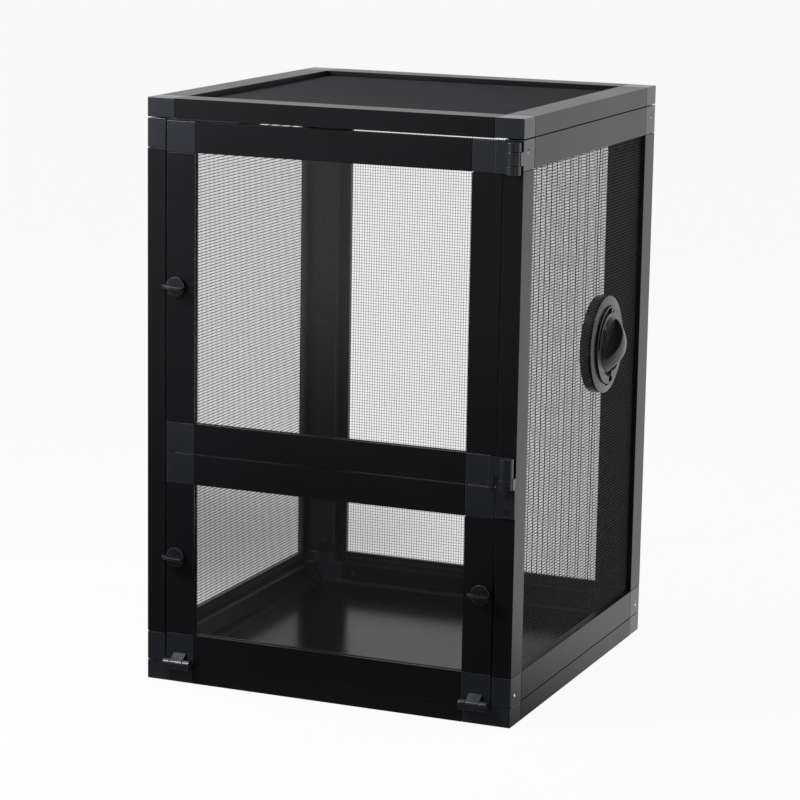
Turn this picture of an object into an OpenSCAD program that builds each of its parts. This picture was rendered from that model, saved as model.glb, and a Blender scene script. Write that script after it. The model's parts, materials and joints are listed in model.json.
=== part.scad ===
// Mesh reptile cage: five framed panels, a swing door over a drop flap, and a feeding port.
// Millimetres. Origin at the middle of the underside, +Z up, doors towards -Y.

/* [Cage] */
// Width over the side panels
cage_w = 400; // [320:10:600]
// Depth from the front face to the back face
cage_d = 400; // [320:10:600]
// Height from the underside to the top face
cage_h = 600; // [500:10:900]

/* [Frame profile] */
// Thickness of every panel, and side of the profile's square tube
panel_t = 20; // [18:1:26]
// Width of the flange that carries the mesh
flange_w = 10; // [8:1:14]
// Thickness of the flange, which sets the mesh back from the outer face
flange_t = 5.5; // [5:0.5:8]
// Wall of the square tube
tube_wall = 1.4; // [1:0.1:2.5]
// Length of a corner piece's leg inside a tube
corner_leg = 25; // [20:1:40]
// Gap round a leg in its tube
leg_gap = 0.1; // [0.05:0.05:0.3]
// Length of the base's front corner pieces, which carry the flap's hinges
base_corner_l = 51; // [48:1:60]
// Diameter of the pegs that join the top and the base to the side panels
peg_d = 7; // [5:0.5:8]
// How far a peg reaches past the screw that locks it
peg_past = 4; // [3:0.5:6]

/* [Mesh and floor] */
// Thickness of the mesh
mesh_t = 0.8; // [0.5:0.1:1.5]
// Largest distance between strands of the net
mesh_pitch = 38; // [36:1:60]
// Width of a strand
strand_w = 2; // [1:0.5:4]
// Width of the groove that grips the mesh's edge
groove_w = 3.2; // [2.4:0.2:4]
// Depth of that groove
groove_deep = 3.5; // [2.5:0.5:4]
// Distance from the tube to the groove
groove_edge = 1.5; // [1:0.1:2]
// Gap round the cord in its groove
cord_gap = 0.05; // [0.02:0.01:0.1]
// Thickness of the floor sheet
floor_t = 3; // [2:0.5:5]
// Gap round the floor sheet
floor_gap = 0.5; // [0.2:0.1:1]

/* [Doors] */
// Thickness of both doors
door_t = 10; // [8:0.5:14]
// Width of the doors' frame bars
door_rail_w = 31; // [28:1:36]
// Wall of the doors' tube
door_wall = 1.2; // [1:0.1:1.6]
// Height of the drop flap
lower_door_h = 220; // [160:1:260]
// Gap between a door and the post beside it
door_side_gap = 1.5; // [1:0.1:2.5]
// Gap under the flap
flap_gap = 0.5; // [0.4:0.1:1]
// Gap between the two doors
mid_gap = 1; // [0.6:0.1:2]
// Gap over the swing door
door_top_gap = 2.1; // [2:0.1:8]
// Thickness of the clear panes
pane_t = 3; // [2:0.5:4]
// Depth of the slot that holds a pane
pane_slot = 6; // [4:0.5:8]
// Gap round a pane in its slot
pane_gap = 0.1; // [0.05:0.05:0.3]

/* [Hinges] */
// Diameter of the swing door's hinge knuckles
knuckle_d = 14; // [12:0.5:15]
// Distance from the cage's side to the swing door's hinge axis
hinge_in = 7.5; // [7:0.5:9]
// Height of the knuckle on the post
post_knuckle_h = 13; // [10:0.5:16]
// Height of the knuckle on the lower hinge's bracket
bracket_knuckle_h = 11; // [8:0.5:14]
// Height of the bracket's screw plate
bracket_h = 30; // [26:1:40]
// Thickness of the bracket's screw plate
bracket_t = 2; // [1.5:0.5:3]
// Width of a hinge leaf on the swing door
leaf_w = 6; // [4:1:16]
// Thickness of a hinge leaf
leaf_t = 4; // [3:0.5:5]
// Diameter of the flap's hinge knuckles
flap_knuckle_d = 11; // [10:0.5:13]
// Length of one flap hinge over its three knuckles
flap_hinge_l = 30; // [28:0.5:36]
// Length of the flap's own knuckle
flap_mid_l = 14; // [12:0.5:18]
// Height of the lug that joins the flap's knuckle to the flap
flap_lug_h = 10; // [7:0.5:12]
// Diameter of every hinge pin
pin_d = 4; // [3:0.5:5]
// Running gap round a hinge pin
pin_gap = 0.05; // [0.02:0.01:0.1]
// Gap between knuckles, and between a knuckle and the face behind it
hinge_gap = 0.3; // [0.2:0.1:0.6]

/* [Latches] */
// Diameter of a knob's disc
knob_d = 20; // [16:1:24]
// Thickness of a knob's disc
knob_t = 4; // [3.5:0.5:6]
// Distance of a knob's axis from the door's edge
knob_in = 11.5; // [11:0.5:15]
// Height of the knobs above the middle of their door
knob_up = 2; // [0:1:30]
// How far a knob's fin stands out from its disc
fin_reach = 10; // [8:0.5:12]
// Width of the fin
fin_w = 22; // [16:1:24]
// Radius of the fin's front edge
fin_r = 25; // [14:1:40]
// Thickness of the fin
fin_t = 3; // [2:0.5:6]
// Lean of the fin from level, its right end down
fin_lean = 5; // [0:1:20]
// Diameter of the shaft through the door
shaft_d = 8; // [6:0.5:10]
// Running gap round the shaft
shaft_gap = 0.05; // [0.02:0.01:0.1]
// Gap between a knob and the door's face
knob_gap = 0.3; // [0.2:0.1:0.6]
// Width of a latch tongue
tongue_w = 8; // [6:0.5:9]
// Thickness of a latch tongue
tongue_t = 2.5; // [2:0.5:4]
// Gap between a tongue's tip and the post
tongue_clear = 3; // [2.5:0.1:4]
// Thickness of a catch
catch_t = 2.5; // [2:0.5:3]
// How far a catch reaches out from its post
catch_reach = 7; // [6:0.5:8]
// Height of a catch
catch_h = 18; // [12:1:30]
// Thickness of a catch's foot on the post
catch_foot_t = 1.5; // [1:0.1:2]
// Gap in front of and behind a catch
catch_gap = 0.3; // [0.2:0.1:0.6]

/* [Feeding port] */
// Distance from the cage's back face to the port's axis
port_from_back = 128; // [110:1:250]
// Height of the port's axis
port_up = 340; // [150:1:450]
// Diameter of the port's bezel and of the ring behind the mesh
port_d = 102; // [98:1:110]
// Thickness of the bezel
port_bezel_t = 4; // [3:0.5:5]
// How much lower the bezel's outer edge is than its inner edge
bezel_fall = 1.7; // [0.5:0.1:2.2]
// Width of the bezel's level inner edge
bezel_land = 1.5; // [0.5:0.5:3]
// Diameter of the lid's disc
lid_d = 82; // [80:0.5:83]
// How far the lid stands out from the bezel
lid_proud = 2.5; // [1:0.5:4]
// Gap between the lid and the port round it
lid_gap = 0.3; // [0.2:0.1:0.4]
// Outer diameter of the sleeve through the mesh
sleeve_d = 90; // [89:0.5:92]
// Bore of the sleeve
sleeve_bore = 79.6; // [78:0.2:79.8]
// Length of the sleeve behind the bezel
sleeve_l = 10; // [8:0.5:12]
// Gap between the sleeve and the ring and mesh round it
sleeve_gap = 0.2; // [0.1:0.1:0.5]
// Wall of the lid's skirt
skirt_wall = 2.9; // [2:0.1:3.2]
// Number of locking lugs on the lid's skirt
lug_n = 3; // [2:1:4]
// Width of a locking lug
lug_w = 12; // [8:1:16]
// Thickness of a locking lug
lug_t = 2.2; // [1.5:0.1:3]
// How far a lug reaches past the skirt
lug_reach = 3; // [2:0.1:3.4]
// Thickness of the rubber seal under the lid
seal_t = 0.8; // [0.6:0.1:1.2]
// Gap on each face of the seal
seal_gap = 0.1; // [0.05:0.05:0.2]
// Radius of the middle of the lid's slots
slot_r = 36.5; // [35.5:0.5:37]
// Width of the lid's slots
slot_w = 6; // [3:0.5:7]
// Depth of the lid's slots and of its small hole
slot_deep = 3; // [1:0.5:4]
// Angle over which the lid's long slot runs
slot_sweep = 94; // [40:1:100]
// Angle over which the lid's short slot runs
slot_short = 14; // [8:1:20]
// Diameter of the lid's small hole
lid_hole_d = 3.5; // [2:0.5:5]
// Diameter of the grip's domed body
grip_d = 59; // [50:1:62]
// Diameter of the pointer at the grip's foot
pointer_d = 8; // [5:0.5:9]
// Height of the pointer at the grip's foot
pointer_h = 3.5; // [2:0.5:5]
// Height of the domed grip
grip_h = 15.5; // [12:0.5:24]
// Width of the rim round the grip's two finger pockets
grip_rim = 2.5; // [1.5:0.5:4]
// Thickness of the pockets' floor
grip_floor = 1; // [0.6:0.1:2]
// Thickness of the grip's blade between the pockets
blade_t = 18; // [12:0.5:24]
// Lean of the blade from upright, its top towards the back
blade_lean = 45; // [0:1:60]

/* [Screws] */
// Distance of the side panels' screws from the panel's edges
side_screw_in = 12; // [10:0.5:14]
// Distance of the back panel's screws from the end of their bar
leg_screw_in = 15; // [8:1:20]
// Head diameter of the panels' and the bracket's screws
screw_head_d = 5; // [4.5:0.5:6.5]
// Head height of every screw
screw_head_h = 1.2; // [0.8:0.1:1.4]
// Depth of the side screws' heads under the panel's face
screw_sink = 1.5; // [0.5:0.1:2.5]
// Gap round a sunk head
sink_gap = 0.15; // [0.05:0.05:0.4]
// Shank diameter of every screw
screw_d = 3; // [2:0.5:4]
// Head diameter of the catches' screws
catch_screw_head_d = 4; // [3.6:0.1:4.4]
// Gap round a screw's shank
screw_gap = 0.05; // [0.02:0.01:0.2]
// Length of the rear screws under the head, through a side panel into the back panel
rear_screw_l = 28; // [24:1:32]
// Length of the front screws under the head, through a peg
front_screw_l = 15; // [13:0.5:16.5]
// Length of the other screws under the head
short_screw_l = 8; // [6:0.5:10]

/* [Hidden] */
$fn = 64;
// How far a cut runs past the face it opens
cut = 1;
frame_black = [0.045, 0.045, 0.05];
corner_black = [0.075, 0.075, 0.085];
mesh_black = [0.06, 0.06, 0.06];
floor_black = [0.03, 0.03, 0.035];
rubber_black = [0.02, 0.02, 0.02];
knob_black = [0.055, 0.055, 0.06];
steel = [0.55, 0.55, 0.57];
clear = [0.85, 0.9, 0.92, 0.25];

hw = cage_w / 2;
hd = cage_d / 2;
profile_w = panel_t + flange_w;
side_h = cage_h - 2 * panel_t;
back_w = cage_w - 2 * panel_t;
leg_in = tube_wall + leg_gap;
leg_w = panel_t - 2 * leg_in;
peg_l = side_screw_in + peg_past;
seat_in = screw_sink + screw_head_h;
groove_u = panel_t + groove_edge;
cord_d = groove_w - 2 * cord_gap;
mesh_in = groove_u + groove_w + cord_gap;

door_w = back_w - 2 * door_side_gap;
upper_z = panel_t + flap_gap + lower_door_h + mid_gap;
upper_door_h = cage_h - panel_t - door_top_gap - upper_z;
lower_z = panel_t + flap_gap;
door_leg_in = door_wall + leg_gap;
door_leg_w = door_rail_w - pane_slot - 2 * door_leg_in;
door_leg_t = door_t - 2 * door_leg_in;
pane_slot_t = pane_t + 2 * pane_gap;
pane_edge = door_rail_w - pane_slot + pane_gap;

hinge_x = hw - hinge_in;
hinge_y = -hd - knuckle_d / 2 - hinge_gap;
pin_bore = pin_d + 2 * pin_gap;
upper_top = upper_z + upper_door_h;
post_knuckle_z = upper_top - (door_rail_w + post_knuckle_h) / 2;
bracket_top = upper_z + bracket_knuckle_h;
flap_x = (door_w - door_rail_w) / 2;
flap_y = -hd - flap_knuckle_d / 2 - hinge_gap;
flap_z = panel_t + flap_gap / 2;
flap_side_l = (flap_hinge_l - flap_mid_l) / 2 - hinge_gap;

knob_x = door_w / 2 - knob_in;
upper_knob_z = upper_z + upper_door_h / 2 + knob_up;
lower_knob_z = lower_z + lower_door_h / 2 + knob_up;
post_x = hw - panel_t;
knob_face = -hd - knob_gap - knob_t;
knob_socket = knob_t * 0.75;
catch_y = -hd + door_t + catch_gap;
tongue_y = catch_y + catch_t + catch_gap;
tongue_l = post_x - knob_x - tongue_clear;
catch_screw_y = -hd + panel_t - catch_gap - catch_screw_head_d / 2;

port_y = hd - port_from_back;
lid_face = -flange_t + port_bezel_t + lid_proud;
lid_back = -flange_t + seal_t + 2 * seal_gap;
skirt_d = sleeve_bore - 2 * lid_gap;
lug_back = -flange_t - sleeve_l - lid_gap - lug_t;
lug_r = skirt_d / 2 + lug_reach;
notch_r = lug_r + lid_gap * 2;
notch_w = lug_w + 2 * lid_gap;
dome_r = ((grip_d / 2) ^ 2 + grip_h ^ 2) / (2 * grip_h);

// Places of the panels: local X and Y lie in the outer face, and local Z runs into the cage
module on_top() { translate([-hw, hd, cage_h]) rotate([180, 0, 0]) children(); }
module on_base() { translate([-hw, hd, panel_t]) rotate([180, 0, 0]) children(); }
module on_left() { translate([-hw, -hd, panel_t]) rotate([90, 0, 90]) children(); }
module on_right() { translate([hw, hd, panel_t]) rotate([90, 0, -90]) children(); }
module on_back() { translate([-back_w / 2, hd, panel_t]) rotate([90, 0, 0]) children(); }
module on_upper() { translate([door_w / 2, -hd, upper_z]) rotate([90, 0, 180]) children(); }
module on_lower() { translate([door_w / 2, -hd, lower_z]) rotate([90, 0, 180]) children(); }

// Places of the four bars of a panel of size a by b, each starting a distance s from its end
module along_low(s) { translate([s, 0, 0]) rotate([90, 0, 90]) children(); }
module along_high(a, b, s) { translate([a - s, b, 0]) rotate([90, 0, -90]) children(); }
module along_left(b, s) { translate([0, b - s, 0]) rotate([90, 0, 0]) children(); }
module along_right(a, s) { translate([a, s, 0]) rotate([90, 0, 180]) children(); }

// Places of the four corners of a panel of size a by b
module at_corners(a, b) {
    for (p = [[0, 0, 0], [a, 0, 90], [a, b, 180], [0, b, 270]])
        translate([p[0], p[1], 0])
            rotate([0, 0, p[2]])
                children();
}

// Square tube with a flange along its inner edge, and the groove for the mesh's cord
module profile() {
    difference() {
        union() {
            square(panel_t);
            square([profile_w, flange_t]);
        }
        translate([tube_wall, tube_wall])
            square(panel_t - 2 * tube_wall);
        translate([groove_u, flange_t - groove_deep])
            square([groove_w, groove_deep + cut]);
    }
}

module bar(length) {
    color(frame_black)
        linear_extrude(length)
            profile();
}

// A bar whose corner legs are screwed through its inner face
module screwed_bar(length) {
    color(frame_black)
        difference() {
            bar(length);
            for (end = [leg_screw_in, length - leg_screw_in])
                translate([panel_t / 2, panel_t - tube_wall - cut, end])
                    rotate([-90, 0, 0])
                        cylinder(d = screw_d + 2 * screw_gap, h = tube_wall + 2 * cut);
        }
}

// Corner piece: a block of the profile's shape, and a leg into each of the two tubes
module corner(la = profile_w, lb = profile_w) {
    cube([la, lb, flange_t]);
    cube([la, panel_t, panel_t]);
    cube([panel_t, lb, panel_t]);
    translate([leg_in, leg_in, leg_in]) {
        cube([la + corner_leg - leg_in, leg_w, leg_w]);
        cube([leg_w, lb + corner_leg - leg_in, leg_w]);
    }
}

// Net of square gaps, w by h
module net(w, h) {
    nx = floor((w - strand_w) / mesh_pitch);
    ny = floor((h - strand_w) / mesh_pitch);
    px = (w - strand_w) / nx;
    py = (h - strand_w) / ny;
    difference() {
        square([w, h]);
        for (i = [0:nx - 1], j = [0:ny - 1])
            translate([strand_w + i * px, strand_w + j * py])
                square([px - strand_w, py - strand_w]);
    }
}

// Mesh of a panel of size a by b, lying on the flanges
module panel_mesh(a, b) {
    translate([mesh_in, mesh_in, flange_t])
        linear_extrude(mesh_t)
            net(a - 2 * mesh_in, b - 2 * mesh_in);
}

// One length of the cord that holds the mesh's edge, seated in its groove
module cord(length) {
    translate([groove_u + groove_w / 2, flange_t - groove_deep + cord_d / 2, 0])
        cylinder(d = cord_d, h = length);
}

module panel_cord(a, b) {
    along_low(profile_w)
        cord(a - 2 * profile_w);
    along_high(a, b, profile_w)
        cord(a - 2 * profile_w);
    along_left(b, profile_w)
        cord(b - 2 * profile_w);
    along_right(a, profile_w)
        cord(b - 2 * profile_w);
}

// Pan-head screw, its shank along +Z and its head below
module screw(length, head_d = screw_head_d) {
    translate([0, 0, -screw_head_h])
        cylinder(d = head_d, h = screw_head_h);
    cylinder(d = screw_d, h = length);
}

module screw_hole(length) {
    translate([0, 0, -cut])
        cylinder(d = screw_d + 2 * screw_gap, h = length + cut + screw_gap);
}

// Seats of the screws in the side panels' corners, at the front (-1) or the rear (1)
module at_side_screws(end) {
    for (s = [-1, 1], z = [panel_t + side_screw_in, cage_h - panel_t - side_screw_in])
        translate([s * (hw - seat_in), end * (hd - side_screw_in), z])
            rotate([0, -90 * s, 0])
                children();
}

// Hole of a sunk screw: the shank's, and a counterbore from its seat out through the face
module sunk_screw_hole(length) {
    screw_hole(length);
    translate([0, 0, -seat_in - cut])
        cylinder(d = screw_head_d + 2 * sink_gap, h = seat_in + cut);
}

module side_screw_holes() {
    at_side_screws(-1)
        sunk_screw_hole(front_screw_l);
    at_side_screws(1)
        sunk_screw_hole(rear_screw_l);
}

// Screws through the back panel's inner face into the corner legs
module at_leg_screws() {
    far = profile_w + leg_screw_in;
    near = panel_t / 2;
    for (a = [near, back_w - near], b = [far, side_h - far])
        on_back()
            translate([a, b, panel_t])
                rotate([180, 0, 0])
                    children();
    for (a = [far, back_w - far], b = [near, side_h - near])
        on_back()
            translate([a, b, panel_t])
                rotate([180, 0, 0])
                    children();
}

// Pegs under the top panel or over the base panel, between z and z + peg_l, in line with the screws
module pegs(z, gap) {
    for (sx = [-1, 1], sy = [-1, 1])
        translate([sx * (hw - panel_t / 2), sy * (hd - side_screw_in), z])
            cylinder(d = peg_d + 2 * gap, h = peg_l);
}

// Top panel
module top_rail_front() { on_top() along_high(cage_w, cage_d, profile_w) bar(cage_w - 2 * profile_w); }
module top_rail_rear() { on_top() along_low(profile_w) bar(cage_w - 2 * profile_w); }
module top_rail_left() { on_top() along_left(cage_d, profile_w) bar(cage_d - 2 * profile_w); }
module top_rail_right() { on_top() along_right(cage_w, profile_w) bar(cage_d - 2 * profile_w); }

module top_corners() {
    color(corner_black) {
        on_top()
            at_corners(cage_w, cage_d)
                corner();
        difference() {
            pegs(cage_h - panel_t - peg_l, 0);
            side_screw_holes();
        }
    }
}

module top_mesh() { color(mesh_black) on_top() panel_mesh(cage_w, cage_d); }

// Base panel, with its outer face upwards and the floor sheet under the flanges
module base_rail_front() {
    on_base()
        along_high(cage_w, cage_d, base_corner_l)
            bar(cage_w - 2 * base_corner_l);
}

module base_rail_rear() { on_base() along_low(profile_w) bar(cage_w - 2 * profile_w); }
module base_rail_left() { on_base() along_left(cage_d, profile_w) bar(cage_d - 2 * profile_w); }
module base_rail_right() { on_base() along_right(cage_w, profile_w) bar(cage_d - 2 * profile_w); }

// Knuckle of the flap's hinges, from x0 over a length
module flap_knuckle(x0, length) {
    translate([x0, flap_y, flap_z])
        rotate([0, 90, 0])
            cylinder(d = flap_knuckle_d, h = length);
}

module flap_pin_hole(x0) {
    translate([x0 - cut, flap_y, flap_z])
        rotate([0, 90, 0])
            cylinder(d = pin_bore, h = flap_hinge_l + 2 * cut);
}

// The base's two knuckles of the hinge at x, with their lugs on the base's front face
module base_knuckles(x) {
    first = x - flap_hinge_l / 2;
    for (x0 = [first, first + flap_hinge_l - flap_side_l]) {
        flap_knuckle(x0, flap_side_l);
        translate([x0, flap_y, flap_z - flap_knuckle_d / 2])
            cube([flap_side_l, -hd - flap_y, flap_knuckle_d / 2 - flap_gap]);
    }
}

module base_corners() {
    color(corner_black)
        difference() {
            union() {
                on_base() {
                    corner();
                    translate([cage_w, 0, 0])
                        rotate([0, 0, 90])
                            corner();
                    translate([cage_w, cage_d, 0])
                        rotate([0, 0, 180])
                            corner(base_corner_l, profile_w);
                    translate([0, cage_d, 0])
                        rotate([0, 0, 270])
                            corner(profile_w, base_corner_l);
                }
                pegs(panel_t, 0);
                for (s = [-1, 1])
                    base_knuckles(s * flap_x);
            }
            for (s = [-1, 1])
                flap_pin_hole(s * flap_x - flap_hinge_l / 2);
            side_screw_holes();
        }
}

module floor_sheet() {
    inset = panel_t + floor_gap;
    color(floor_black)
        on_base()
            translate([inset, inset, flange_t])
                cube([cage_w - 2 * inset, cage_d - 2 * inset, floor_t]);
}

// Left side panel
module left_post_front() {
    color(frame_black)
        difference() {
            on_left()
                along_left(side_h, profile_w)
                    bar(side_h - 2 * profile_w);
            at_catch_screws()
                screw_hole(short_screw_l);
        }
}

module left_post_rear() { on_left() along_right(cage_d, profile_w) bar(side_h - 2 * profile_w); }
module left_rail_top() { on_left() along_high(cage_d, side_h, profile_w) bar(cage_d - 2 * profile_w); }
module left_rail_bottom() { on_left() along_low(profile_w) bar(cage_d - 2 * profile_w); }

// Cuts shared by both side panels' corner pieces: peg sockets and screw holes
module side_corner_cuts() {
    pegs(panel_t, screw_gap);
    pegs(cage_h - panel_t - peg_l, screw_gap);
    side_screw_holes();
}

module left_corners() {
    color(corner_black)
        difference() {
            on_left()
                at_corners(cage_d, side_h)
                    corner();
            side_corner_cuts();
        }
}

module left_mesh() { color(mesh_black) on_left() panel_mesh(cage_d, side_h); }

// Right side panel, which carries the swing door's upper hinge and the feeding port
module right_post_front() {
    color(frame_black)
        difference() {
            on_right()
                along_right(cage_d, profile_w)
                    bar(side_h - 2 * profile_w);
            at_catch_screws()
                screw_hole(short_screw_l);
            at_bracket_screws()
                screw_hole(short_screw_l);
        }
}

module right_post_rear() { on_right() along_left(side_h, profile_w) bar(side_h - 2 * profile_w); }
module right_rail_top() { on_right() along_high(cage_d, side_h, profile_w) bar(cage_d - 2 * profile_w); }
module right_rail_bottom() { on_right() along_low(profile_w) bar(cage_d - 2 * profile_w); }

// Knuckle of the swing door's hinges, from z over a height
module knuckle(z, height) {
    translate([hinge_x, hinge_y, z])
        cylinder(d = knuckle_d, h = height);
}

module pin_hole(z, height) {
    translate([hinge_x, hinge_y, z - cut])
        cylinder(d = pin_bore, h = height + 2 * cut);
}

// Lug that joins a fixed knuckle to the post's front face
module knuckle_lug(z, height) {
    x0 = hinge_x - knuckle_d / 4;
    translate([x0, hinge_y, z])
        cube([hw - x0, -hd - hinge_y, height]);
}

module right_corners() {
    color(corner_black)
        difference() {
            union() {
                on_right()
                    at_corners(cage_d, side_h)
                        corner();
                knuckle(post_knuckle_z, post_knuckle_h);
                knuckle_lug(post_knuckle_z, post_knuckle_h);
            }
            side_corner_cuts();
            pin_hole(post_knuckle_z, post_knuckle_h);
        }
}

// Frame of the feeding port: local Z points out of the cage from the panel's outer face
module at_port() { translate([hw, port_y, port_up]) rotate([0, 90, 0]) children(); }

module right_mesh() {
    hole_d = sleeve_d + 2 * sleeve_gap;
    rim_d = hole_d + 4 * strand_w;
    color(mesh_black) {
        difference() {
            on_right()
                panel_mesh(cage_d, side_h);
            at_port()
                translate([0, 0, -flange_t - mesh_t - cut])
                    cylinder(d = rim_d - strand_w, h = mesh_t + 2 * cut);
        }
        at_port()
            translate([0, 0, -flange_t - mesh_t])
                difference() {
                    cylinder(d = rim_d, h = mesh_t);
                    translate([0, 0, -cut])
                        cylinder(d = hole_d, h = mesh_t + 2 * cut);
                }
    }
}

// Back panel
module back_stile_left() { on_back() along_left(side_h, profile_w) screwed_bar(side_h - 2 * profile_w); }
module back_stile_right() { on_back() along_right(back_w, profile_w) screwed_bar(side_h - 2 * profile_w); }
module back_rail_top() {
    on_back()
        along_high(back_w, side_h, profile_w)
            screwed_bar(back_w - 2 * profile_w);
}

module back_rail_bottom() { on_back() along_low(profile_w) screwed_bar(back_w - 2 * profile_w); }

module back_corners() {
    color(corner_black)
        difference() {
            on_back()
                at_corners(back_w, side_h)
                    corner();
            side_screw_holes();
            at_leg_screws()
                screw_hole(short_screw_l);
        }
}

module back_mesh() { color(mesh_black) on_back() panel_mesh(back_w, side_h); }

// Cords that hold the four meshes in their grooves
module mesh_cord() {
    color(rubber_black) {
        on_top()
            panel_cord(cage_w, cage_d);
        on_left()
            panel_cord(cage_d, side_h);
        on_right()
            panel_cord(cage_d, side_h);
        on_back()
            panel_cord(back_w, side_h);
    }
}

// Screws of the lower hinge's bracket
module at_bracket_screws() {
    for (z = [upper_z - bracket_h / 4, upper_z - bracket_h * 3 / 4])
        translate([hw - panel_t / 2, -hd - bracket_t, z])
            rotate([-90, 0, 0])
                children();
}

// Places of the three latches: x, z, the side that the tongue turns to
LATCHES = [
    [-knob_x, upper_knob_z, -1],
    [-knob_x, lower_knob_z, -1],
    [knob_x, lower_knob_z, 1]
];

// Screws of the catches, one through each foot
module at_catch_screws() {
    for (l = LATCHES)
        translate([l[2] * (post_x - catch_foot_t), catch_screw_y, l[1]])
            rotate([0, 90 * l[2], 0])
                children();
}

module frame_screws() {
    color(steel) {
        at_side_screws(-1)
            screw(front_screw_l);
        at_side_screws(1)
            screw(rear_screw_l);
        at_leg_screws()
            screw(short_screw_l);
        at_bracket_screws()
            screw(short_screw_l);
        at_catch_screws()
            screw(short_screw_l, catch_screw_head_d);
    }
}

// Bracket of the swing door's lower hinge: a screw plate on the post, and a knuckle over it
module hinge_bracket() {
    color(corner_black)
        difference() {
            union() {
                translate([hw - panel_t, -hd - bracket_t, upper_z - bracket_h])
                    cube([panel_t, bracket_t, bracket_h + bracket_knuckle_h]);
                knuckle(upper_z, bracket_knuckle_h);
                knuckle_lug(upper_z, bracket_knuckle_h);
            }
            pin_hole(upper_z, bracket_knuckle_h);
            at_bracket_screws()
                screw_hole(short_screw_l);
        }
}

module upper_hinge_pins() {
    color(steel)
        for (z = [upper_z, upper_top - door_rail_w])
            translate([hinge_x, hinge_y, z])
                cylinder(d = pin_d, h = door_rail_w);
}

module lower_hinge_pins() {
    color(steel)
        for (s = [-1, 1])
            translate([s * flap_x - flap_hinge_l / 2, flap_y, flap_z])
                rotate([0, 90, 0])
                    cylinder(d = pin_d, h = flap_hinge_l);
}

// Catches on the posts: a strike behind the door's edge, on a foot that is screwed to the post
module door_catches() {
    foot_end = -hd + panel_t - catch_gap;
    color(knob_black)
        difference() {
            for (l = LATCHES)
                translate([l[2] * post_x, catch_y, l[1] - catch_h / 2])
                    mirror([l[2] > 0 ? 1 : 0, 0, 0]) {
                        cube([catch_reach, catch_t, catch_h]);
                        cube([catch_foot_t, foot_end - catch_y, catch_h]);
                    }
            at_catch_screws()
                screw_hole(short_screw_l);
        }
}

// Door tube with the slot for the pane along its inner edge
module door_profile() {
    difference() {
        square([door_rail_w, door_t]);
        translate([door_wall, door_wall])
            square([door_rail_w - pane_slot - 2 * door_wall, door_t - 2 * door_wall]);
        translate([door_rail_w - pane_slot, (door_t - pane_slot_t) / 2])
            square([pane_slot + cut, pane_slot_t]);
    }
}

module door_bar(length) {
    linear_extrude(length)
        door_profile();
}

// Corner piece of a door: a block, and a leg into each of its two tubes
module door_corner() {
    slot_at = door_rail_w - pane_slot;
    leg_l = door_rail_w + corner_leg - door_leg_in;
    difference() {
        cube([door_rail_w, door_rail_w, door_t]);
        translate([slot_at, slot_at, (door_t - pane_slot_t) / 2])
            cube([pane_slot + cut, pane_slot + cut, pane_slot_t]);
    }
    translate([door_leg_in, door_leg_in, door_leg_in]) {
        cube([leg_l, door_leg_w, door_leg_t]);
        cube([door_leg_w, leg_l, door_leg_t]);
    }
}

module door_pane(h) {
    translate([pane_edge, pane_edge, (door_t - pane_t) / 2])
        cube([door_w - 2 * pane_edge, h - 2 * pane_edge, pane_t]);
}

// Hole for a latch's shaft through a stile
module shaft_hole(l) {
    translate([l[0], -hd - cut, l[1]])
        rotate([-90, 0, 0])
            cylinder(d = shaft_d + 2 * shaft_gap, h = door_t + 2 * cut);
}

// Swing door
module upper_stile_left() {
    color(frame_black)
        difference() {
            on_upper()
                along_right(door_w, door_rail_w)
                    door_bar(upper_door_h - 2 * door_rail_w);
            shaft_hole(LATCHES[0]);
        }
}

module upper_stile_right() {
    color(frame_black)
        on_upper()
            along_left(upper_door_h, door_rail_w)
                door_bar(upper_door_h - 2 * door_rail_w);
}

module upper_rail_top() {
    color(frame_black)
        on_upper()
            along_high(door_w, upper_door_h, door_rail_w)
                door_bar(door_w - 2 * door_rail_w);
}

module upper_rail_bottom() {
    color(frame_black)
        on_upper()
            along_low(door_rail_w)
                door_bar(door_w - 2 * door_rail_w);
}

// Leaf on the swing door's corner, from z over a height
module door_leaf(z, height) {
    translate([door_w / 2 - leaf_w, -hd - leaf_t, z])
        cube([leaf_w, leaf_t, height]);
}

// Arm from the leaf across the post's front face, with its knuckle
module door_knuckle(z, height) {
    translate([door_w / 2 - leaf_w, -hd - leaf_t, z])
        cube([hinge_x - door_w / 2 + leaf_w, leaf_t - hinge_gap, height]);
    knuckle(z, height);
}

module upper_corners() {
    corner_z = upper_top - door_rail_w;
    side_knuckle_h = (door_rail_w - post_knuckle_h) / 2 - hinge_gap;
    lower_knuckle_z = bracket_top + hinge_gap;
    lower_knuckle_h = upper_z + door_rail_w - lower_knuckle_z;
    web_w = hinge_x - knuckle_d / 2 - 2 * hinge_gap - door_w / 2;
    color(corner_black)
        difference() {
            union() {
                on_upper()
                    at_corners(door_w, upper_door_h)
                        door_corner();
                door_leaf(corner_z, door_rail_w);
                translate([door_w / 2 - cut, -hd - leaf_t, corner_z])
                    cube([web_w + cut, leaf_t - hinge_gap, door_rail_w]);
                door_knuckle(corner_z, side_knuckle_h);
                door_knuckle(upper_top - side_knuckle_h, side_knuckle_h);
                door_leaf(upper_z, door_rail_w);
                door_knuckle(lower_knuckle_z, lower_knuckle_h);
            }
            pin_hole(corner_z, door_rail_w);
            pin_hole(upper_z, door_rail_w);
        }
}

module upper_pane() { color(clear) on_upper() door_pane(upper_door_h); }

// Drop flap
module lower_stile_left() {
    color(frame_black)
        difference() {
            on_lower()
                along_right(door_w, door_rail_w)
                    door_bar(lower_door_h - 2 * door_rail_w);
            shaft_hole(LATCHES[1]);
        }
}

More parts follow.
